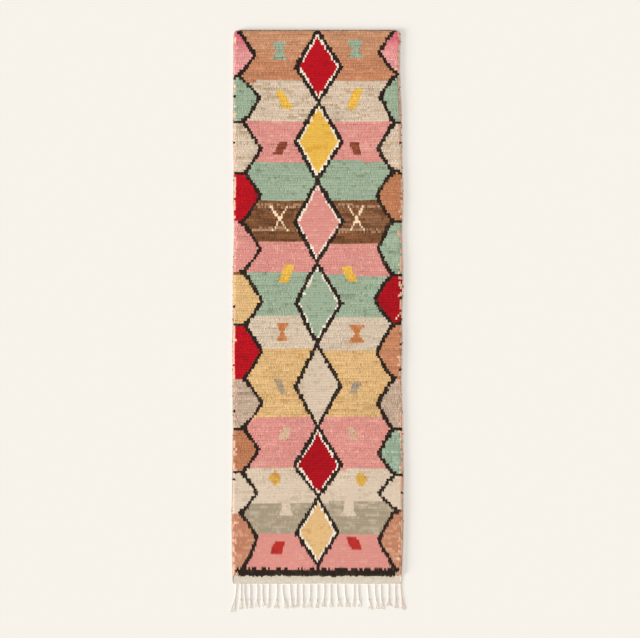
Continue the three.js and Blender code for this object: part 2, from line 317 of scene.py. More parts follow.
# The dye lots of the pile. Each belongs to a family of yarn, which is one piece of the pile. Its
# fleck is a second shade spun or tied in here and there, with the share that there is of it. The
# next number says how uneven the shade is along a row. It is larger in the two lots by the fringe,
# because calmFringe takes most of it away there. Some lots fade to another shade, from one s to
# another.
lotFacts = ("family", "hex", "fleck", "share", "uneven", "fade")
dyeLots = {
    "outlineDark": ("dark", "#2C2018", "#43392B", 0.1, 0.1),
    "rust": ("rust", "#C6906C", "#D39E7D", 0.14, 0.06, ("#C28561", 85, 165)),
    "rustSide": ("rust", "#BD7F59", "#B37351", 0.2, 0.04),
    "terracotta": ("rust", "#BD8063", "#CF9A7C", 0.3, 0.4, ("#CA9475", 2490, 2570)),
    "orange": ("rust", "#C67E4B", "#D38C5B", 0.2, 0.05),
    "sage": ("sage", "#9FB097", "#8B9B80", 0.08, 0.035),
    "mint": ("sage", "#95A891", "#A7B7A1", 0.2, 0.05),
    "cream": ("cream", "#D6C2AB", "#C3AB8F", 0.18, 0.05),
    "creamPale": ("cream", "#D7C4AE", "#CBB69E", 0.15, 0.03),
    "beige": ("cream", "#C3AA95", "#B49C86", 0.22, 0.07),
    "greyLilac": ("cream", "#B29A7D", "#A29181", 0.3, 0.05),
    "sand": ("cream", "#D6B397", "#CDAA87", 0.2, 0.03),
    "peach": ("cream", "#E5B197", "#EDC1A4", 0.3, 0.05),
    "ivory": ("ivory", "#F3E6D4", "#E8D9C2", 0.2, 0.04),
    "ecru": ("ivory", "#F7DCBB", "#EDCFAA", 0.2, 0.04),
    "pink": ("pink", "#DA9389", "#E0A296", 0.15, 0.03),
    "rose": ("pink", "#D79085", "#DB9A8E", 0.1, 0.02),
    "hotPink": ("pink", "#D46877", "#D96E7C", 0.2, 0.05, ("#E39D99", 20, 135)),
    "brown": ("brown", "#805434", "#6C4429", 0.25, 0.13),
    "brownPale": ("brown", "#885E41", "#72492E", 0.3, 0.12),
    "taupe": ("brown", "#B28A6A", "#8F6747", 0.3, 0.09),
    "brick": ("brown", "#904B34", "#803D2A", 0.25, 0.06),
    "gold": ("yellow", "#E8BB50", "#E0AB42", 0.15, 0.03),
    "amber": ("yellow", "#D5AA4C", "#CB9455", 0.3, 0.03),
    "butter": ("yellow", "#DDB780", "#D0A66D", 0.16, 0.05),
    "apricot": ("yellow", "#DDB881", "#D7AD75", 0.16, 0.03),
    "red": ("red", "#AB0817", "#A00715", 0.2, 0.05),
    "redBright": ("red", "#BB0C1C", "#AF0C19", 0.2, 0.03),
    "redBar": ("red", "#B73028", "#A82B25", 0.2, 0.04),
    "greyGreen": ("greyGreen", "#A6977F", "#B8A992", 0.25, 0.4),
}
dyeLots = {name: dict(zip(lotFacts, row)) for name, row in dyeLots.items()}
lotNames = list(dyeLots)
lotNumber = {name: number for number, name in enumerate(lotNames)}

# The overcast edges: one length of yarn after another wrapped over the edge
edging = {
    "pitch": 6,
    "from": 10,  # the side wraps start here
    "stopShort": 2,  # and stop this far from the strip's end
    "steps": 6,
    "roundTo": 112,  # degrees from straight out to either end of a wrap
    "reachIn": 8,
    "topHeight": 10.5,
    "squareness": 0.6,  # 1 gives a round edge
    "stripShare": 0.35,  # of that height beside the flat end strip
    "stripBlend": 12,
    "yarnHalf": 3.2,
    "stray": 0.3,
    "widthStray": 0.05,
    "shadeStray": 0.06,
    "yarnThick": 1.0,
    "slant": 1.6,
    # the left side's wraps: painted shade makes them darker, as the light from the left falls full on
    # them
    "hex": "#BFB5AD",
    "leftWarmPaintedShadeHex": "#C1AB9D",
    "rightPaintedLightHex": "#F8E6D6",  # painted light: the right side's wraps are paler than the left's, as the pile shades them
    "rightWarmPaintedLightHex": "#F6D8C4",
    "darkHex": "#80583F",
    "darkShare": 0.02,
    "markHalf": 3.4,
    "leftMarks": [  # s of the dark wraps
        236, 321, 435, 535, 696, 720, 819, 1198, 1260, 1317, 1340, 1378, 1482, 1615, 1691, 1739, 1815,
        2137, 2270, 2284,
    ],
    "rightMarks": [407, 506, 540, 658, 1222, 1269, 1378, 1487, 1615, 1734, 1819, 1919, 2203, 2336],
    "endCorner": 28,  # the upper end's wraps stop this far from the sides
    "endPitch": 6,
    "endHex": "#7A604C",
    "endPaleHex": "#CDA077",
    "endPaleRare": 1.5,  # over 1, fewer of the end's wraps are pale
}

# The pattern, counted out on the rug: bands across the middle, a zigzag down each side with
# its own fields outside it, a chain of lozenges, and small bars and hourglasses in pairs.
pattern = {
    "middle": 2,  # between the left and the right half
    "zigzagWidth": 20,
    "turnWiden": 10,  # how much wider its line is where it turns at the edge
    "turnReach": 45,
    "lozengeLine": 21,
    "pointWidth": 0.88,  # of the lozenges' line where two points meet, as a share of its width
    "pointReach": 60,
    "stubLength": 12,  # a short line joins the last lozenge to the border
    "stubHalf": 8,
    "linerWidth": 9,
    "jitter": 3.4,  # how far a line strays from knot to knot
    "borderFrom": 2556,
    "borderSpikes": 8,
    "borderInset": 16,  # from the rug's edges
    "lastRowInset": 30,
    "edgeMargin": 15,  # reaches the outermost knots
    "edgeTeeth": 14,  # how much further in pale yarn reaches in a few rows
    "teethRare": 3,  # over 1, most of those are short
    "redTeeth": {-1: 0.5, 1: 1.2},  # as shares of that, in the red fields on the left and right
    "leftFray": 0.28,  # share of the outermost knots tied in pale yarn
    # more pale knots on the right: partly the rug's own pale yarn, partly painted light on the rim
    # there, which lies in shade
    "rightFrayAndPaintedLight": 0.6,
    "redFray": 0.8,
    "markTufts": 0.25,  # share of the outermost knots beside a dark wrap that are dark too
    "leftBow": 0.82,  # under 1, a zigzag's legs bow towards the rug's middle
    "rightBow": 0.68,
}
bands = [  # where each band ends on the left and on the right
    ("rust", 246, 247),
    ("cream", 437, 436),
    ("pink", 633, 624),
    ("sage", 813, 813),
    ("brown", 1011, 1012),
    ("pink", 1156, 1166),
    ("sage", 1353, 1362),
    ("creamPale", 1510, 1518),
    ("butter", 1834, 1834),
    ("pink", 2082, 2085),
    ("creamPale", 2243, 2242),
    ("greyGreen", 2390, 2392),
    ("rose", 2600, 2600),
]
leftZigzag = [  # (s, x) of each turn
    (-4, -390), (120, -298), (222, -378), (325, -274), (437, -356), (567, -271), (682, -348),
    (787, -271), (912, -357), (1045, -271), (1148, -355), (1284, -262), (1402, -348), (1526, -262),
    (1656, -351), (1773, -262), (1886, -354), (1995, -280), (2101, -362), (2198, -286),
    (2294, -365), (2415, -286), (2572, -366),
]
rightZigzag = [
    (-4, 383), (107, 294), (213, 386), (316, 299), (443, 375), (567, 291), (676, 367), (787, 282),
    (906, 366), (1042, 288), (1163, 367), (1281, 273), (1399, 368), (1535, 282), (1653, 371),
    (1777, 288), (1895, 368), (2010, 291), (2113, 375), (2201, 294), (2279, 386), (2418, 291),
    (2566, 386),
]
leftFields = [
    ("hotPink", 222), ("sage", 437), ("cream", 682), ("redBright", 912), ("pink", 1148),
    ("apricot", 1402), ("redBright", 1656), ("beige", 1886), ("rustSide", 2107), ("creamPale", 2294),
    ("terracotta", 2600),
]
rightFields = [
    ("hotPink", 213), ("sage", 443), ("cream", 676), ("rustSide", 906), ("sage", 1163),
    ("red", 1399), ("rust", 1653), ("beige", 1895), ("mint", 2113), ("creamPale", 2279),
    ("terracotta", 2600),
]
leftTicks = [  # bars from the zigzag to the edge
    ("outlineDark", 442), ("outlineDark", 684), ("brown", 1155), ("outlineDark", 1402),
    ("outlineDark", 1890), ("outlineDark", 2097),
]
rightTicks = [("outlineDark", s) for s in (442, 676, 907, 1163, 1400, 1897, 2112)]
points = [(3, 0), (344, 5), (717, 0), (1106, -1), (1490, -1), (1883, 0), (2217, 3), (2540, 1)]
lozenges = [  # from each of those points (s, x) to the next: s and x of the outline at the widest
    {"wide": 179, "left": -102, "right": 112, "fill": "redBright", "liner": 1},
    {"wide": 532, "left": -103, "right": 117, "fill": "gold", "liner": 1},
    {"wide": 914, "left": -107, "right": 120, "fill": "pink", "liner": 0.85},
    {"wide": 1298, "left": -104, "right": 114, "fill": "sage", "liner": 0.7},
    {"wide": 1691, "left": -106, "right": 114, "fill": "creamPale", "liner": 0},
    {"wide": 2066, "left": -108, "right": 117, "fill": "red", "liner": 1},
    {"wide": 2386, "left": -100, "right": 98, "fill": "butter", "liner": 1},
]
motifs = [  # (s, x from, x to) along each motif
    ("sage", [(56, -216, -144), (96, -193, -164), (145, -216, -144)]),
    ("sage", [(53, 138, 216), (95, 168, 192), (138, 148, 220)]),
    ("gold", [(287, -205, -163), (370, -163, -119)]),
    ("gold", [(284, 174, 217), (372, 140, 184)]),
    ("brick", [(528, -177, -135), (597, -213, -168)]),
    ("brick", [(531, 148, 195), (598, 173, 213)]),
    ("ecru", [(833, -230, -221), (958, -147, -138)]),
    ("ecru", [(831, -140, -131), (954, -218, -209)]),
    ("ecru", [(833, 137, 146), (958, 221, 230)]),
    ("ecru", [(831, 218, 227), (958, 151, 160)]),
    ("gold", [(1115, -152, -107), (1198, -188, -140)]),
    ("gold", [(1123, 109, 159), (1200, 148, 190)]),
    ("orange", [(1395, -196, -138), (1435, -176, -156), (1480, -199, -139)]),
    ("orange", [(1401, 148, 223), (1440, 175, 194), (1483, 146, 220)]),
    ("greyLilac", [(1661, -208, -171), (1723, -183, -149)]),
    ("greyLilac", [(1664, 176, 215), (1728, 151, 184)]),
    ("sand", [(1879, -157, -118), (1951, -191, -146)]),
    ("sand", [(1879, 134, 167), (1947, 159, 193)]),
    ("amber", [(2092, -205, -191), (2122, -227, -173), (2134, -227, -173), (2160, -205, -191)]),
    ("amber", [(2100, 198, 216), (2128, 179, 234), (2140, 179, 234), (2162, 198, 216)]),
    ("creamPale", [(2240, -168, -129), (2275, -170, -127), (2313, -182, -112)]),
    ("creamPale", [(2240, 128, 173), (2275, 126, 172), (2313, 103, 187)]),
    ("redBar", [(2430, -198, -152), (2445, -214, -154), (2478, -223, -165), (2491, -216, -174)]),
    ("redBar", [(2409, 139, 185), (2424, 142, 197), (2457, 156, 212), (2471, 168, 208)]),
]
streaks = [  # paler rows in the brown band: middle, half the height, share of knots, side
    ("brownPale", 895, 62, 0.8, 1), ("brownPale", 850, 30, 0.4, -1), ("taupe", 838, 9, 0.7, 0),
    ("taupe", 947, 8, 0.75, 0), ("taupe", 957, 8, 0.5, 1),
]


def zigzagAt(s, turns, bow):
    # x of a zigzag's middle: each leg runs from its outer turn to its inner one
    down = np.array([turn[0] for turn in turns], float)
    out = np.array([turn[1] for turn in turns], float)
    leg = np.clip(np.searchsorted(down, s) - 1, 0, len(turns) - 2)
    share = np.clip((s - down[leg]) / (down[leg + 1] - down[leg]), 0, 1)
    inwards = abs(out[leg]) > abs(out[leg + 1])
    share = np.where(inwards, share**bow, 1 - (1 - share) ** bow)
    return mix(out[leg], out[leg + 1], share)


def lozengeDepth(x, s, number):
    # how far inside a lozenge's outline a place is, and how far along the rug from its points
    shape, top, bottom = lozenges[number], points[number], points[number + 1]
    down = [top[0], shape["wide"], bottom[0]]
    low = np.interp(s, down, [top[1], shape["left"], bottom[1]])
    high = np.interp(s, down, [top[1], shape["right"], bottom[1]])
    return np.minimum(x - low, high - x), np.minimum(s - top[0], bottom[0] - s)


def chartSide(lot, x, s, wobble, sign):
    # fills in one side of the chart: its fields, its frayed edge, its ticks and its zigzag
    turns, fields, ticks, bow, marks, fray, edge = {
        -1: (
            leftZigzag, leftFields, leftTicks, pattern["leftBow"], edging["leftMarks"],
            pattern["leftFray"], leftEdge(s),
        ),
        1: (
            rightZigzag, rightFields, rightTicks, pattern["rightBow"], edging["rightMarks"],
            pattern["rightFrayAndPaintedLight"], rightEdge(s),
        ),
    }[sign]
    lineX = zigzagAt(s, turns, bow)
    outside = sign * (x - lineX) > 0
    start = -math.inf
    for name, end in fields:
        lot[outside & (s >= start) & (s < end)] = lotNumber[name]
        start = end
    inward = sign * (edge - x)
    redField = (lot == lotNumber["red"]) | (lot == lotNumber["redBright"])
    teeth = pattern["edgeTeeth"] * rng.uniform(0, 1, (len(x), 1)) ** pattern["teethRare"]
    teeth = teeth * np.where(redField, pattern["redTeeth"][sign], 1)
    frayed = outside & (inward < pattern["edgeMargin"] + teeth)
    frayed &= rng.uniform(0, 1, x.shape) < np.where(redField, pattern["redFray"], fray)
    lot[frayed] = lotNumber["peach"]
    nearMark = abs(s[..., None] - np.array(marks)).min(axis=-1) < rowPitch / 2
    nearMark &= rng.uniform(0, 1, x.shape) < pattern["markTufts"]
    lot[outside & nearMark & (inward < pattern["edgeMargin"])] = lotNumber["outlineDark"]
    for name, tick in ticks:
        lot[outside & (abs(s - tick) < rowPitch / 2)] = lotNumber[name]
    outerTurns = np.array(turns)[::2, 0]
    atTurn = 1 - smoothStep(abs(s[..., None] - outerTurns).min(axis=-1) / pattern["turnReach"])
    width = pattern["zigzagWidth"] + pattern["turnWiden"] * atTurn
    lot[abs(x - lineX + wobble) < width / 2] = lotNumber["outlineDark"]


def chartOf(x, s):
    # the dye lot of each knot whose visible part is at (x, s)
    lot = np.zeros(x.shape, int)
    wobble = rng.uniform(-1, 1, x.shape) * pattern["jitter"]
    onRight = x > pattern["middle"]
    start = -math.inf
    for name, endLeft, endRight in bands:
        lot[s >= start] = lotNumber[name]
        start = np.where(onRight, endRight, endLeft)
    inBrown = lot == lotNumber["brown"]
    for name, middle, height, share, side in streaks:
        near = (abs(s - middle) < height) & (rng.uniform(0, 1, x.shape) < share)
        near &= side * (x - pattern["middle"]) >= 0
        lot[near & inBrown] = lotNumber[name]
    for name, rows in motifs:
        down = [row[0] for row in rows]
        low = np.interp(s, down, [row[1] for row in rows])
        high = np.interp(s, down, [row[2] for row in rows])
        inside = (s >= down[0]) & (s <= down[-1]) & (x > low) & (x < high)
        lot[inside] = lotNumber[name]
    chartSide(lot, x, s, wobble, -1)
    chartSide(lot, x, s, wobble, 1)
    for number, shape in enumerate(lozenges):
        depth, fromPoint = lozengeDepth(x, s, number)
        within = fromPoint >= 0
        depth = depth + wobble
        narrow = mix(pattern["pointWidth"], 1, smoothStep(fromPoint / pattern["pointReach"]))
        reach = pattern["lozengeLine"] / 2 * narrow
        lot[within & (depth > 0)] = lotNumber[shape["fill"]]
        lined = depth < reach + pattern["linerWidth"]
        lined &= rng.uniform(0, 1, x.shape) < shape["liner"]
        lot[within & (depth > 0) & lined] = lotNumber["ivory"]
        lot[within & (abs(depth) < reach)] = lotNumber["outlineDark"]
    lastS, lastX = points[-1]
    stub = (s > lastS - pattern["stubLength"]) & (abs(x - lastX) < pattern["stubHalf"])
    lot[stub] = lotNumber["outlineDark"]
    spikes = pattern["borderFrom"] + pattern["borderSpikes"] * rng.uniform(-1, 1, x.shape)
    lot[s > spikes] = lotNumber["outlineDark"]
    inward = np.minimum(x - leftEdge(s), rightEdge(s) - x)
    lastRow = s > pile["length"] - rowPitch
    inset = np.where(lastRow, pattern["lastRowInset"], pattern["borderInset"])
    lot[(s > spikes) & (inward < inset)] = lotNumber["peach"]
    return lot


# The pile: rows of knots across the rug, each knot two ends of yarn that lean towards the fringe
pile = {
    "length": 2600,
    "rows": 215,
    "firstRow": 9,  # no root lies nearer to the upper end
    "columns": 101,
    "height": 17,
    "rootHeight": 2.5,
    "lump": 1.4,  # how far the slow waves of lumps raise and lower that
    "wander": 2.4,  # how far a row strays from a straight line
    "settle": 60,  # and less so this near the ends
    "fringeFrom": 2000,  # the pile is sleeker past here
    "fringeBlend": 300,
    "lean": 20,  # from an end's root to its tip, along the rug
    "leanAtFringe": 25,
    "overhang": 3,
    "endAt": 2592,  # the last rows reach no further than this
    "endStray": 3.5,
    "sway": 2.4,  # how far neighbouring tips lean sideways together
    "swings": {  # how many swings a row has of something, and how large they are
        "lean": (9, 0.75), "tip": (18, 0.8), "lift": (13, 0.34), "fleck": (30, 1), "shade": (14, 0.7),
    },
    "stray": 0.5,  # how far each end strays by itself
    "rootStray": 1,
    "liftStray": 0.22,
    "rollStray": 0.14,
    "thickStray": 0.05,
    "shadeOfRun": 0.8,  # how the shade differs from one length of yarn to the next
    "shadeOfEnd": 0.35,
    "fleckStray": 0.4,
    "strayAtFringe": 0.35,  # as a share of what it is elsewhere
    "shaggy": 2.2,  # how much further the dark yarn's tips stray
    "shaggyAtFringe": 5,  # and how much further still there
    "widerAtFringe": 0.15,
    "bendAt": 0.36,  # where an end bends over, between its root and its tip
    "rowTilt": 0.86,  # height at an end's bend, as a share of its tip's
    "rowTiltAtFringe": 0.975,
    "tipDrop": 0.35,  # how far the very tip bows down
    "tipDropAtFringe": 0.3,  # as a share of that
    "halfWidth": 3.9,
    "halfHeight": 1.1,
    "tipSink": 0.77,  # from the pile's top down to the middle of a tip
    "widths": [0.75, 1.0, 0.84],  # at the root, the bend and the tip, as shares of those
    "heights": [0.8, 1.0, 0.75],
    "rowShift": 2.5,  # how far a row's knots sit beside those of the row above
    "calmLozenge": 0.65,  # less unevenness in the lozenges, and towards the fringe
    "calmFringe": 0.9,
    "edgeInset": 8,  # from the rug's edge to the outermost knot
    "edgeBlend": 30,
    "edgeSpread": 2.6,  # how far the outermost tips lean out over the edge
    "spreadReach": 18,
    "shoulderFrom": 5,  # the pile stands lower between here and the edge
    "shoulder": 10,
    "endShoulderFrom": 2.5,
    "endShoulder": 22,
    "rimHeight": 14.4,
    "run": 14,  # knots tied from one length of yarn
}
rowPitch = pile["length"] / pile["rows"]

# Slow waves over the rug: their length across it, their length along it, and where they start
waves = {
    "row": (190, 410, 0),
    "sway": [(75, 131, 0), (-210, 97, 0)],
    "lumps": [(61, 173, 0), (-143, 97, 1.3), (59, 59, 0.7)],
}


def wave(x, s, facts):
    across, along, start = facts
    return np.sin(x / across + s / along + start)


def swings(rows, name):
    # a slow value along each row, different from row to row
    count, amount = pile["swings"][name]
    control = rng.normal(0, amount, (rows, count))
    at = np.linspace(0, count - 1, pile["columns"])
    return np.stack([np.interp(at, np.arange(count), row) for row in control])


def runsOfYarn(rows, amount):
    # one value for each length of yarn along a row
    values = rng.normal(0, amount, (rows, pile["columns"] // pile["run"] + 2))
    starts = rng.integers(0, pile["run"], (rows, 1))
    at = (np.arange(pile["columns"])[None, :] + starts) // pile["run"]
    return np.take_along_axis(values, at, axis=1)


def ranked(values):
    # spreads any values evenly over 0..1, in the same order
    return values.ravel().argsort().argsort().reshape(values.shape) / values.size


def pileTop(x, s, tipX, tipS):
    # how high the pile stands at a knot's tip: in slow lumps, and lower at the rug's rim
    top = pile["height"] + (pile["lump"] / 3) * sum(wave(x, s, facts) for facts in waves["lumps"])
    inward = np.minimum(tipX - leftEdge(s), rightEdge(s) - tipX)
    rim = smoothStep((inward - pile["shoulderFrom"]) / pile["shoulder"])
    rim = np.minimum(rim, smoothStep((tipS - pile["endShoulderFrom"]) / pile["endShoulder"]))
    return mix(pile["rimHeight"], top, rim)


def dyedColour(lots, fleck, shade, s):
    # the colour of each end of yarn: its lot's, faded and flecked, and a little uneven
    colour = np.zeros((len(lots), 3))
    for number in np.unique(lots):
        facts = dyeLots[lotNames[number]]
        mine = lots == number
        plain = np.broadcast_to(linear(facts["hex"]), (mine.sum(), 3))
        if "fade" in facts:
            fadeHex, fadeFrom, fadeTo = facts["fade"]
            faded = smoothStep((s[mine, None] - fadeFrom) / (fadeTo - fadeFrom))
            plain = mix(plain, linear(fadeHex), faded)
        change = linear(facts["fleck"]) / linear(facts["hex"])
        flecked = fleck[mine, None] < facts["share"]
        colour[mine] = np.where(flecked, plain * change, plain)
        colour[mine] *= np.exp(facts["uneven"] * shade[mine, None])
    return colour


def knotPlaces():
    # x and s of each knot, its distance from the nearer end of its row, and the width of a knot
    rows, columns = pile["rows"], pile["columns"]
    s = np.broadcast_to(((np.arange(rows) + 0.5) * rowPitch)[:, None], (rows, columns)).copy()
    across = (np.arange(columns) + 0.5)[None, :] / columns
    low = leftEdge(s) + pile["edgeInset"]
    high = rightEdge(s) - pile["edgeInset"]
    x = mix(low, high, across)
    settle = np.minimum(1, np.minimum(s, pile["length"] - s) / pile["settle"])
    s += pile["wander"] * wave(x, s, waves["row"]) * settle
    fromEdge = np.minimum(x - low, high - x)
    shift = np.minimum(1, fromEdge / pile["edgeBlend"])
    x += rng.uniform(-1, 1, (rows, 1)) * pile["rowShift"] * shift
    return x, s, fromEdge, (high - low) / columns


def addFamily(family, numbers, lot, ends):
    # one piece of the pile: both ends of every knot in the family's lots
    chosen = np.isin(lot, numbers)
    take = {key: np.concatenate([end[key][chosen] for end in ends]) for key in ends[0]}
    lots = np.concatenate([lot[chosen]] * 2)
    colour = dyedColour(lots, take["fleck"], take["shade"], take["s"])
    thick = take["thick"][:, None] * mm
    half = pile["halfWidth"] * thick * np.array([pile["widths"]])
    height = pile["halfHeight"] * thick * np.array([pile["heights"]])
    points, faces, uv, share, owner = makeStrands(take["paths"], half, height, "tuft", take["roll"])
    biggest = max(numbers, key=lambda number: (lots == number).sum())
    # the pile's yarn keeps the default painted shade towards each end's root
    material = yarnMaterial(
        f"wool, {family}, hand-spun and cut as pile", dyeLots[lotNames[biggest]]["hex"], mottle=0.05
    )
    values = {"dye": np.clip(colour[owner], 0, 1), "along": share}
    piece = addPiece(f"pile_{family}", points, faces, material, values, uv)
    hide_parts("rug_body")
    print(f"pile of {family}: {len(lots)} ends")
    return piece


def makePile():
    x, s, fromEdge, knotWidth = knotPlaces()
    rows = len(x)
    lot = chartOf(x, s)
    towardsFringe = smoothStep((s - pile["fringeFrom"]) / pile["fringeBlend"])
    inLozenge = np.zeros(x.shape, bool)
    for number in range(len(lozenges)):
        depth, fromPoint = lozengeDepth(x, s, number)
        inLozenge |= (depth > 0) & (fromPoint > 0)
    calm = (1 - pile["calmFringe"] * towardsFringe) * (1 - pile["calmLozenge"] * inLozenge)
    lean = mix(pile["lean"], pile["leanAtFringe"], towardsFringe) + swings(rows, "lean") * calm
    tipWander = swings(rows, "tip") * calm
    tipLift = swings(rows, "lift") * calm
    tilt = mix(pile["rowTilt"], pile["rowTiltAtFringe"], towardsFringe)
    tipDrop = pile["tipDrop"] * mix(1, pile["tipDropAtFringe"], towardsFringe)
    fleckRow = swings(rows, "fleck")
    swaying = pile["sway"] * wave(x, s, waves["sway"][0]) * wave(x, s, waves["sway"][1])
    shadeRow = (swings(rows, "shade") + runsOfYarn(rows, pile["shadeOfRun"])) * calm
    shaggy = pile["shaggy"] * mix(1, pile["shaggyAtFringe"], towardsFringe)
    stray = pile["stray"] * mix(1, pile["strayAtFringe"], towardsFringe)
    stray *= np.where(lot == lotNumber["outlineDark"], shaggy, 1)
    spread = pile["edgeSpread"] * (1 - smoothStep(fromEdge / pile["spreadReach"])) * np.sign(x)

    def chance(size=1.0):
        return rng.normal(0, size, x.shape)

    ends = []
    for side in (-1, 1):
        strayX = chance() * stray
        strayS = chance() * stray
        tipS = s + rowPitch / 2 + pile["overhang"] + tipWander + strayS
        tipS = np.minimum(tipS, pile["endAt"] + pile["endStray"] * chance())
        rootS = np.maximum(tipS - lean + chance(pile["rootStray"]) * calm, pile["firstRow"])
        rootX = x + side * knotWidth / 4
        tipX = rootX + swaying + strayX + spread
        tipZ = pileTop(x, s, tipX, tipS) - pile["tipSink"] + tipLift
        tipZ += chance(pile["liftStray"]) * calm
        bendX = mix(rootX, tipX, pile["bendAt"])
        bendS = mix(rootS, tipS, pile["bendAt"])
        bendZ = mix(pile["rootHeight"], tipZ, tilt)
        rootZ = np.full(x.shape, float(pile["rootHeight"]))
        rings = [(rootX, rootS, rootZ), (bendX, bendS, bendZ), (tipX, tipS, tipZ - tipDrop)]
        ends.append({
            "paths": np.stack([inFrame(*ring) for ring in rings], axis=-2),
            "roll": chance(pile["rollStray"]) * calm,
            "shade": shadeRow + chance(pile["shadeOfEnd"]) * calm,
            "fleck": ranked(fleckRow + chance(pile["fleckStray"])),
            "thick": 1 + chance(pile["thickStray"]) * calm + pile["widerAtFringe"] * towardsFringe,
            "s": s,
        })

    families = {}
    for number, name in enumerate(lotNames):
        families.setdefault(dyeLots[name]["family"], []).append(number)
    return [addFamily(family, numbers, lot, ends) for family, numbers in families.items()]


# The woven ground: warps and wefts in undyed wool, with the backs of the knots on its underside
ground = {
    "topLevel": 3.2,
    "inset": 3,
    "from": 6,
    "columns": 101,
    "stripRows": 5,
    "weft": 0.3,  # how far the wefts stand up and down
    "knotBack": 0.3,
    "backShade": 0.9,
    "mapMargin": 0.01,
    "hex": "#D9CBB4",
    "flatHex": "#D8CCBB",
}


def makeGround():
    pileRows = np.arange(1, pile["rows"] + 1) * rowPitch
    stripRows = np.linspace(pile["length"], outline["length"], ground["stripRows"] + 1)[1:]
    s = np.concatenate([[ground["from"]], pileRows, stripRows])
    columns = ground["columns"] + 1
    sGrid = np.broadcast_to(s[:, None], (len(s), columns))
    low = leftEdge(sGrid) + ground["inset"]
    high = rightEdge(sGrid) - ground["inset"]
    share = np.linspace(0, 1, columns)[None, :]
    x = mix(low, high, share)
    odd = np.add.outer(np.arange(len(s)), np.arange(columns)) % 2
    top = inFrame(x, sGrid, ground["topLevel"] + ground["weft"] * np.where(odd, 1, -1))
    bottom = inFrame(x, sGrid, ground["knotBack"] * (odd == 0))
    n, m = x.shape
    ids = np.arange(n * m).reshape(n, m)
    quads = np.stack([ids[:-1, :-1], ids[1:, :-1], ids[1:, 1:], ids[:-1, 1:]], axis=-1).reshape(-1, 4)
    below = quads[:, ::-1] + n * m
    rim = np.concatenate([ids[:, 0], ids[-1, 1:], ids[-2::-1, -1], ids[0, -2:0:-1]])
    after = np.roll(rim, -1)
    walls = np.stack([rim, rim + n * m, after + n * m, after], axis=-1)
    points = np.concatenate([top.reshape(-1, 3), bottom.reshape(-1, 3)])
    lotColours = np.array([linear(dyeLots[name]["hex"]) for name in lotNames])
    backs = ground["backShade"] * lotColours[chartOf(x, sGrid)]
    backs[s > pile["length"]] = linear(ground["flatHex"])
    weave = np.broadcast_to(linear(ground["hex"]), backs.shape)
    dye = np.concatenate([weave.reshape(-1, 3), backs.reshape(-1, 3)])
    # the map holds the upper side on its left half and the underside on its right half
    down = np.broadcast_to((s / s[-1])[:, None], x.shape)
    margin = ground["mapMargin"]
    across = margin + (0.5 - 2 * margin) * np.broadcast_to(share, x.shape)
    uv = [np.stack([across + half, down], axis=-1).reshape(-1, 2) for half in (0, 0.5)]
    material = yarnMaterial(
        "wool and cotton ground, hand-woven, with knot backs below", ground["hex"],
        mottle=0.08, rootPaintedShade=1,
    )
    piece = addPiece(
        "ground", points, [quads, below, walls], material,
        {"dye": dye, "along": np.ones(len(points))}, np.concatenate(uv),
    )
    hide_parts("rug_body")
    print("woven ground")
    return piece


def wrapArcs():
    # from the top of the cloth, over its edge, to the underside: inward and up of each step, and
    # the way out from the cloth there
    roundTo = math.radians(edging["roundTo"])
    angle = np.linspace(roundTo, -roundTo, edging["steps"])
    outwards = np.sign(np.cos(angle)) * abs(np.cos(angle)) ** edging["squareness"]
    upwards = np.sign(np.sin(angle)) * abs(np.sin(angle)) ** edging["squareness"]
    low, high = edging["yarnThick"], edging["topHeight"] - edging["yarnThick"]
    inward = edging["reachIn"] * (1 - outwards) / 2 + edging["yarnThick"]
    up = mix(low, high, (1 + upwards) / 2)
    slant = np.linspace(-1, 1, edging["steps"])[None, :] * edging["slant"]
    return inward[None, :], up[None, :], slant, np.cos(angle), np.sin(angle)


def makeWraps(paths, away):
    wide = 1 + rng.normal(0, edging["widthStray"], (len(paths), 1))
    half, thick = edging["yarnHalf"] * mm * wide, edging["yarnThick"] * mm
    return makeStrands(paths, half, thick, "wrap", away=away)


def addWraps(name, made, colour, material):
    points, faces, uv, share, owner = made
    values = {"dye": np.clip(colour[owner], 0, 1), "along": share}
    piece = addPiece(name, points, faces, material, values, uv)
    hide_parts("rug_body")
    return piece


def makeSideEdge(name, sign):
    count = int((outline["length"] - edging["from"] - edging["stopShort"]) / edging["pitch"])
    s = edging["from"] + edging["pitch"] * (np.arange(count) + 0.5)
    inward, up, slant, outwards, upwards = wrapArcs()
    edge = rightEdge(s) if sign > 0 else leftEdge(s)
    beside = smoothStep((s - pile["endAt"]) / edging["stripBlend"])[:, None]
    z = mix(edging["yarnThick"], up, mix(1, edging["stripShare"], beside))
    along = s[:, None] + sign * slant + rng.normal(0, edging["stray"], (count, 1))
    paths = inFrame(edge[:, None] - sign * inward, along, z)
    made = makeWraps(paths, np.stack([sign * outwards, 0 * outwards, upwards], axis=-1))
    marks = np.array(edging["rightMarks"] if sign > 0 else edging["leftMarks"])
    dark = abs(s[:, None] - marks).min(axis=1) < edging["markHalf"]
    dark |= rng.uniform(0, 1, count) < edging["darkShare"]
    # painted shade on the left side's wraps and painted light on the right side's, each mixed with a
    # warmer shade
    plain = linear(edging["rightPaintedLightHex"] if sign > 0 else edging["hex"])
    warm = linear(edging["rightWarmPaintedLightHex"] if sign > 0 else edging["leftWarmPaintedShadeHex"])
    colour = mix(warm, plain, rng.uniform(0, 1, (count, 1)))
    colour *= np.exp(rng.normal(0, edging["shadeStray"], (count, 1)))
    colour[dark] = linear(edging["darkHex"])
    material = yarnMaterial(
        "wool, undyed and overcast along the side", edging["hex"],
        mottle=0.06, rootPaintedShade=1, runsAcross=True,
    )
    return addWraps(name, made, colour, material)


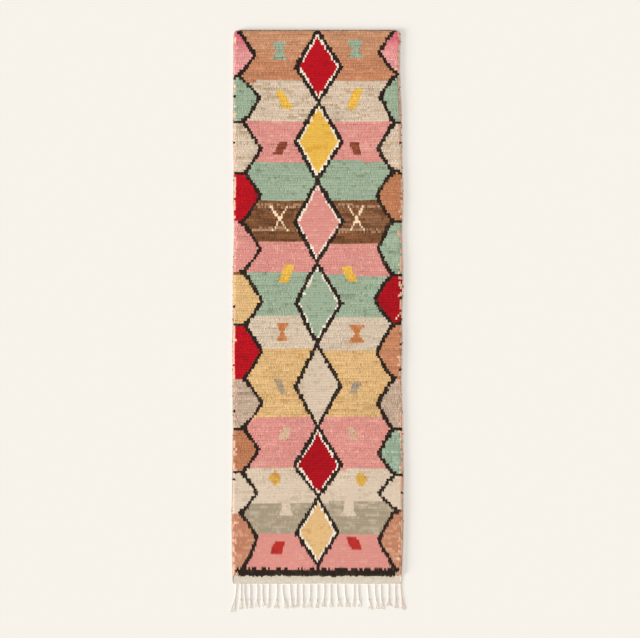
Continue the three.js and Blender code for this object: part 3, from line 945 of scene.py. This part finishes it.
def makeUpperEdge():
    corner = edging["endCorner"]
    left = leftEdge(corner) + corner
    right = rightEdge(corner) - corner
    count = int((right - left) / edging["endPitch"])
    inward, up, slant, outwards, upwards = wrapArcs()
    stray = rng.normal(0, edging["stray"], (count, 1))
    x = np.linspace(left, right, count)[:, None] + slant + stray
    s = np.broadcast_to(outline["upperInset"] + inward, x.shape)
    paths = inFrame(x, s, np.broadcast_to(up, x.shape))
    made = makeWraps(paths, np.stack([0 * outwards, outwards, upwards], axis=-1))
    pale = rng.uniform(0, 1, (count, 1)) ** edging["endPaleRare"]
    colour = mix(linear(edging["endHex"]), linear(edging["endPaleHex"]), pale)
    material = yarnMaterial(
        "wool, dark brown and overcast along the end", edging["endHex"], mottle=0.06, rootPaintedShade=1
    )
    return addWraps("edging_upper", made, colour, material)


# The flat-woven end strip: wefts over and under the warps, beaten close together
strip = {
    "from": 2586,  # runs in under the last tufts
    "pastEnd": 0.6,
    "sideInset": 5,
    "wefts": 14,
    "steps": 203,  # along a weft, one for each warp that it goes over or under
    "half": 1.5,
    "swell": 0.12,  # how much wider a weft is where it goes over a warp
    "thick": 0.9,
    "lift": 0.55,
    "level": 3.5,
    "waver": 0.5,
    "waverLength": 83,
    "waverStart": 1.1,
    "stray": 0.12,
    "hex": "#EADFCF",
    "greyHex": "#D8CCBB",
    "greyRare": 2,  # over 1, less of it is grey
}


def makeStrip():
    pitch = (outline["length"] + strip["pastEnd"] - strip["from"]) / strip["wefts"]
    s = strip["from"] + pitch * (np.arange(strip["wefts"]) + 0.5)
    low = leftEdge(s)[:, None] + strip["sideInset"]
    high = rightEdge(s)[:, None] - strip["sideInset"]
    x = mix(low, high, np.linspace(0, 1, strip["steps"])[None, :])
    over = np.where(np.add.outer(np.arange(strip["wefts"]), np.arange(strip["steps"])) % 2, 1, -1)
    z = strip["level"] + strip["lift"] * over
    wander = strip["waver"] * np.sin(x / strip["waverLength"] + strip["waverStart"])
    wander += rng.normal(0, strip["stray"], x.shape)
    paths = inFrame(x, s[:, None] + wander, z)
    half = strip["half"] * mm * (1 + strip["swell"] * over)
    points, faces, uv, share, owner = makeStrands(paths, half, strip["thick"] * mm, "wrap")
    # one shade for each step along a weft
    corners = len(sections["wrap"])
    grey = rng.uniform(0, 1, len(points) // corners).repeat(corners)[:, None] ** strip["greyRare"]
    colour = mix(linear(strip["hex"]), linear(strip["greyHex"]), grey)
    material = yarnMaterial(
        "wool, undyed, woven flat", strip["hex"], mottle=0.08, rootPaintedShade=1, runsAcross=True
    )
    piece = addPiece(
        "end_strip", points, faces, material,
        {"dye": colour, "along": np.ones(len(points))}, uv,
    )
    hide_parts("rug_body")
    print("edges and end strip")
    return piece


# The fringe: warps twisted into two-ply cords, knotted, with their loose ends below the knot
fringe = {
    "gap": -0.4,  # from the strip to the heading
    "headingWidth": 7,
    "headingInset": 3,
    "headingLevel": 2.5,
    "headingTwist": 15,
    "headingSwing": (1.7, 0.9),  # of its two yarns, along the rug and up
    "headingHalf": (1.75, 1.55),
    "headingSteps": 270,
    "cordFrom": -2,  # starts inside the heading
    "cordLength": 78,
    "cordBow": 2,
    "cordSteps": 42,
    "plyHalf": 1.6,
    "plyOffset": 1.5,
    "plyFlat": 0.55,  # how flat the cords are pressed
    "plyThick": 0.95,  # as a share of a ply's width
    "clearance": 0.1,  # off the floor
    "twist": 17,  # length of one turn
    "twistStray": 0.3,
    "knotLength": 7.92,
    "knotHalf": 1.8,
    "knotRadius": 2.8,
    "knotTurns": 1.7,
    "knotShift": 0.8,
    "knotHeight": 3.3,
    "knotRise": 1.3,
    "knotSteps": 17,
    "strayAtKnot": 0.45,
    "tails": 13,
    "tailStray": 0.07,
    "tailHalf": 1.25,
    "tailTaper": (1.15, 0.7),
    "tailThick": 0.9,
    "tailSteps": 11,
    "bundle": 2.2,  # half the width of the loose ends where they leave the knot
    "endLevel": 1.3,
    "knotLevel": 2.4,  # how much higher than that they start
    "overlap": 0.4,  # every second one lies on its neighbours
    "fan": 1.15,  # over 1, they part slowly at first
    "fanStray": 0.3,
    "droop": 1.3,
    "ragged": 13,  # the most that a loose end is shorter than the longest
    "raggedRare": 1.5,  # over 1, fewer of them are much shorter
    "fullLength": 4,  # one in this many is not shorter
    "curl": 2.6,
    "curlWaves": (1.5, 3.2),
    "hex": "#F2EADD",
    "greyHex": "#E5DACD",
    "pinkHex": "#E6CDC2",
    "pinkShare": 0.7,
    "pinkFrom": 300,
    "pinkBlend": 60,
}
tassels = [  # x of the root, sideways stray of the end, whole length, spread of the loose ends
    (-384, -21, 142, 34), (-363, -3, 128, 20), (-346, 8, 123, 13), (-320, 2, 123, 19),
    (-287, -1, 118, 26), (-260, 3, 113, 14), (-229, -7, 121, 23), (-192, -8, 123, 29),
    (-165, 17, 123, 23), (-129, 11, 121, 18), (-97, -2, 118, 20), (-70, 2, 121, 17),
    (-35, -4, 121, 25), (-1, -3, 120, 20), (32, -7, 116, 25), (62, 1, 118, 23),
    (93, 13, 116, 27), (130, 13, 116, 27), (172, -3, 116, 17), (195, 6, 116, 19),
    (237, 16, 128, 25), (273, 12, 125, 22), (302, 5, 128, 20), (337, 1, 113, 29),
    (371, 2, 121, 20), (394, 15, 128, 22),
]


def fringeColour(places):
    # of each yarn whose tassel hangs at that x
    grey = rng.uniform(0, 1, (len(places), 1))
    plain = mix(linear(fringe["hex"]), linear(fringe["greyHex"]), grey)
    pink = np.clip((np.array(places) - fringe["pinkFrom"]) / fringe["pinkBlend"], 0, 1)
    return mix(plain, linear(fringe["pinkHex"]), fringe["pinkShare"] * pink.reshape(-1, 1))


def addStrandPiece(name, batches, material):
    # joins batches of (strands, colour of each strand) into one piece
    points, faceSets, uvs, dyes, alongs, start = [], [], [], [], [], 0
    for number, (made, colour) in enumerate(batches):
        spots, faces, uv, share, owner = made
        points.append(spots)
        faceSets += [part + start for part in faces]
        uvs.append((uv + [number, 0]) / [len(batches), 1])
        dyes.append(colour[owner])
        alongs.append(share)
        start += len(spots)
    values = {"dye": np.concatenate(dyes), "along": np.concatenate(alongs)}
    return addPiece(
        name, np.concatenate(points), faceSets, material, values, np.concatenate(uvs)
    )


def twisted(middle, turns, offset, phase, flat=1.0):
    # the path of one ply round a middle line (rings, 3) that lies level, in millimetres
    rings = len(middle)
    angle = np.linspace(0, turns * math.tau, rings) + phase
    run = np.gradient(middle, axis=0)
    run /= np.linalg.norm(run, axis=1, keepdims=True)
    side = np.stack([run[:, 1], -run[:, 0], np.zeros(rings)], axis=1)
    up = np.array([[0, 0, flat]])
    return middle + offset * (side * np.cos(angle)[:, None] + up * np.sin(angle)[:, None])


def cordPlies(root, atKnot, headS):
    # the two plies of one cord, from inside the heading to its knot
    bow = fringe["cordBow"] * rng.uniform(-1, 1)
    t = np.linspace(0, 1, fringe["cordSteps"])
    x = mix(root, atKnot, t**2) + bow * np.sin(math.pi * t)
    s = headS + mix(fringe["cordFrom"], fringe["cordLength"], t)
    level = fringe["plyHalf"] + fringe["plyOffset"] * fringe["plyFlat"] + fringe["clearance"]
    middle = np.stack([x, s, np.full(len(t), level)], axis=1)
    turns = fringe["cordLength"] / fringe["twist"] + fringe["twistStray"] * rng.uniform(-1, 1)
    phase = rng.uniform(0, math.tau)
    return [
        twisted(middle, turns, fringe["plyOffset"], phase + ply, fringe["plyFlat"])
        for ply in (0, math.pi)
    ]


def knotLoops(atKnot, knotS):
    # a loop of yarn round the cord each way
    t = np.linspace(0, 1, fringe["knotSteps"])
    loops = []
    for hand in (-1, 1):
        angle = hand * (t * fringe["knotTurns"] * math.tau + rng.uniform(0, 1))
        x = atKnot + fringe["knotRadius"] * np.cos(angle)
        s = knotS + hand * fringe["knotShift"] + fringe["knotLength"] * (t - 0.5)
        z = fringe["knotHeight"] + fringe["knotRise"] * np.sin(angle)
        loops.append(np.stack([x, s, z], axis=1))
    return loops


def tailPaths(atKnot, knotS, endX, endS, spread):
    # the loose ends below a knot, fanned out and curled
    places = np.linspace(-1, 1, fringe["tails"])
    places += rng.normal(0, fringe["tailStray"], fringe["tails"])
    t = np.linspace(0, 1, fringe["tailSteps"])
    paths = []
    for number, place in enumerate(np.clip(places, -1, 1)):
        fromX = atKnot + fringe["bundle"] * place
        toX = endX + place * (spread / 2 - fringe["tailHalf"])
        shorter = fringe["ragged"] * rng.uniform(0, 1) ** fringe["raggedRare"]
        shorter *= number % fringe["fullLength"] > 0
        fan = t ** (fringe["fan"] + fringe["fanStray"] * rng.uniform(-1, 1))
        curl = rng.normal(0, fringe["curl"]) * t
        curl *= np.sin(t * math.pi * rng.uniform(*fringe["curlWaves"]))
        x = mix(fromX, toX, fan) + curl
        s = mix(knotS, endS - shorter, t)
        raised = fringe["knotLevel"] + rng.uniform(-1, 1)
        z = fringe["endLevel"] + raised * (1 - t) ** fringe["droop"] + fringe["overlap"] * (number % 2)
        paths.append(np.stack([x, s, z], axis=1))
    return paths


def headingYarns(headS):
    x = np.linspace(
        leftEdge(outline["length"]) + fringe["headingInset"],
        rightEdge(outline["length"]) - fringe["headingInset"],
        fringe["headingSteps"],
    )
    alongSwing, upSwing = fringe["headingSwing"]
    angle = np.linspace(0, (x[-1] - x[0]) / fringe["headingTwist"] * math.tau, len(x))
    yarns = []
    for ply in (0, math.pi):
        s = headS + alongSwing * np.cos(angle + ply)
        z = fringe["headingLevel"] + upSwing * np.sin(angle + ply)
        yarns.append(np.stack([x, s, z], axis=1))
    return yarns


def makeFringe():
    headS = outline["length"] + fringe["gap"] + fringe["headingWidth"] / 2
    knotS = headS + fringe["cordLength"]
    plies, knots, tails = [], [], []
    for root, stray, length, spread in tassels:
        atKnot = root + fringe["strayAtKnot"] * stray
        endS = outline["length"] + fringe["gap"] + length
        plies += cordPlies(root, atKnot, headS)
        knots += knotLoops(atKnot, knotS)
        tails += tailPaths(atKnot, knotS, root + stray, endS, spread)
    roots = np.array([row[0] for row in tassels])
    headingHalf, headingThick = (size * mm for size in fringe["headingHalf"])
    plyHalf = fringe["plyHalf"] * mm
    knotHalf = fringe["knotHalf"] * mm
    taper = np.linspace(*fringe["tailTaper"], fringe["tailSteps"])
    tailHalf = fringe["tailHalf"] * mm * taper[None, :]
    # a little painted shade where each strand of the fringe starts
    material = yarnMaterial(
        "wool warp yarn, undyed, twisted and knotted", fringe["hex"],
        mottle=0.05, rootPaintedShade=0.9, rootEnd=0.1,
    )
    plies, knots, tails, heading = (
        placed(paths) for paths in (plies, knots, tails, headingYarns(headS))
    )
    batches = [
        (makeStrands(heading, headingHalf, headingThick, "ply"), fringeColour([0, 0])),
        (
            makeStrands(plies, plyHalf, plyHalf * fringe["plyThick"], "ply"),
            fringeColour(roots.repeat(2)),
        ),
        (
            makeStrands(knots, knotHalf, knotHalf, "ply", away=(0, 1, 0.2)),
            fringeColour(roots.repeat(2)),
        ),
        (
            makeStrands(tails, tailHalf, tailHalf * fringe["tailThick"], "yarn"),
            fringeColour(roots.repeat(fringe["tails"])),
        ),
    ]
    piece = addStrandPiece("fringe_yarns", batches, material)
    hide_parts("fringe")
    print("fringe")
    return piece


# A plain pale studio floor, painted board: an even matt surface that only shows the rug's shadow
studio = {
    "floorHex": "#ECE8E1",
    "floorSize": 60,
    "worldHex": "#FBF9F5",
    "worldLight": 0.355,
    "backdropHex": "#F7F3EB",  # what the camera sees behind the floor
    "overhead": {"share": 0.48, "from": (-0.1, -0.1), "spread": 50},
    "window": {"share": 0.29, "from": (-1.0, -0.5), "height": 0.35, "spread": 21},
}


def makeFloor():
    half = studio["floorSize"] / 2
    corners = np.array([(-half, -half, 0), (half, -half, 0), (half, half, 0), (-half, half, 0)], float)
    mesh = bpy.data.meshes.new("floor")
    mesh.from_pydata([tuple(c) for c in corners], [], [(0, 1, 2, 3)])
    floor = bpy.data.objects.new("floor", mesh)
    bpy.context.scene.collection.objects.link(floor)
    material, tree = newMaterial("painted floor board, matt")
    place = addNode(tree, "ShaderNodeTexCoord")
    grain = addNode(
        tree, "ShaderNodeTexNoise", {"Scale": 40, "Detail": 2}, {"Vector": place.outputs["Object"]}
    )
    bump = addNode(
        tree, "ShaderNodeBump", {"Strength": 0.02, "Distance": 0.0005}, {"Height": grain.outputs["Fac"]}
    )
    shader = addNode(
        tree, "ShaderNodeBsdfPrincipled",
        {"Base Color": (*linear(studio["floorHex"]), 1), "Roughness": 1, "Specular IOR Level": 0},
        {"Normal": bump.outputs["Normal"]},
    )
    addNode(tree, "ShaderNodeOutputMaterial", {}, {"Surface": shader.outputs["BSDF"]})
    mesh.materials.append(material)


def makeSky():
    world = bpy.data.worlds.new("studio")
    world.use_nodes = True
    tree = world.node_tree
    tree.nodes.clear()
    colour = (*linear(studio["worldHex"]), 1)
    path = addNode(tree, "ShaderNodeLightPath")
    light = addNode(tree, "ShaderNodeBackground", {"Color": colour, "Strength": studio["worldLight"]})
    behind = (*linear(studio["backdropHex"]), 1)
    seen = addNode(tree, "ShaderNodeBackground", {"Color": behind, "Strength": 1})
    either = addNode(tree, "ShaderNodeMixShader", {}, {"Fac": path.outputs["Is Camera Ray"]})
    tree.links.new(light.outputs["Background"], either.inputs[1])
    tree.links.new(seen.outputs["Background"], either.inputs[2])
    addNode(tree, "ShaderNodeOutputWorld", {}, {"Surface": either.outputs["Shader"]})
    bpy.context.scene.world = world


def makeLamps():
    # each lamp gives its share of the light that falls on the floor
    for name in ("overhead", "window"):
        facts = studio[name]
        towards = np.array([*facts["from"], facts.get("height", 1.0)])
        towards /= np.linalg.norm(towards)
        lamp = bpy.data.lights.new(name, "SUN")
        lamp.energy = facts["share"] * math.pi / towards[2]
        lamp.angle = math.radians(facts["spread"])
        holder = bpy.data.objects.new(name, lamp)
        bpy.context.scene.collection.objects.link(holder)
        holder.rotation_mode = "QUATERNION"
        holder.rotation_quaternion = Vector(towards).to_track_quat("Z", "Y")


# The camera looks straight down. The frame is square but for two pixels, and its width is the one
# at the level of the pile.
camera = {"x": 12.1, "y": 10.1, "distance": 7000, "frameWidth": 3034, "level": 12, "sensor": 36}


def makeCamera():
    lens = bpy.data.cameras.new("camera")
    lens.sensor_width = camera["sensor"]
    lens.lens = camera["sensor"] * camera["distance"] / camera["frameWidth"]
    lens.clip_start = 0.1
    lens.clip_end = 200
    holder = bpy.data.objects.new("camera", lens)
    holder.location = (
        camera["x"] * mm, camera["y"] * mm, (camera["distance"] + camera["level"]) * mm
    )
    bpy.context.scene.collection.objects.link(holder)
    bpy.context.scene.camera = holder
    bpy.context.scene.view_settings.view_transform = "Standard"


makeCamera()
makeFloor()
makeSky()
makeLamps()
print("camera, floor and lights")
pilePieces = makePile()
groundSheet = makeGround()
edges = [makeSideEdge("edging_left", -1), makeSideEdge("edging_right", 1), makeUpperEdge()]
endStrip = makeStrip()
fringeYarns = makeFringe()

print("all pieces made")
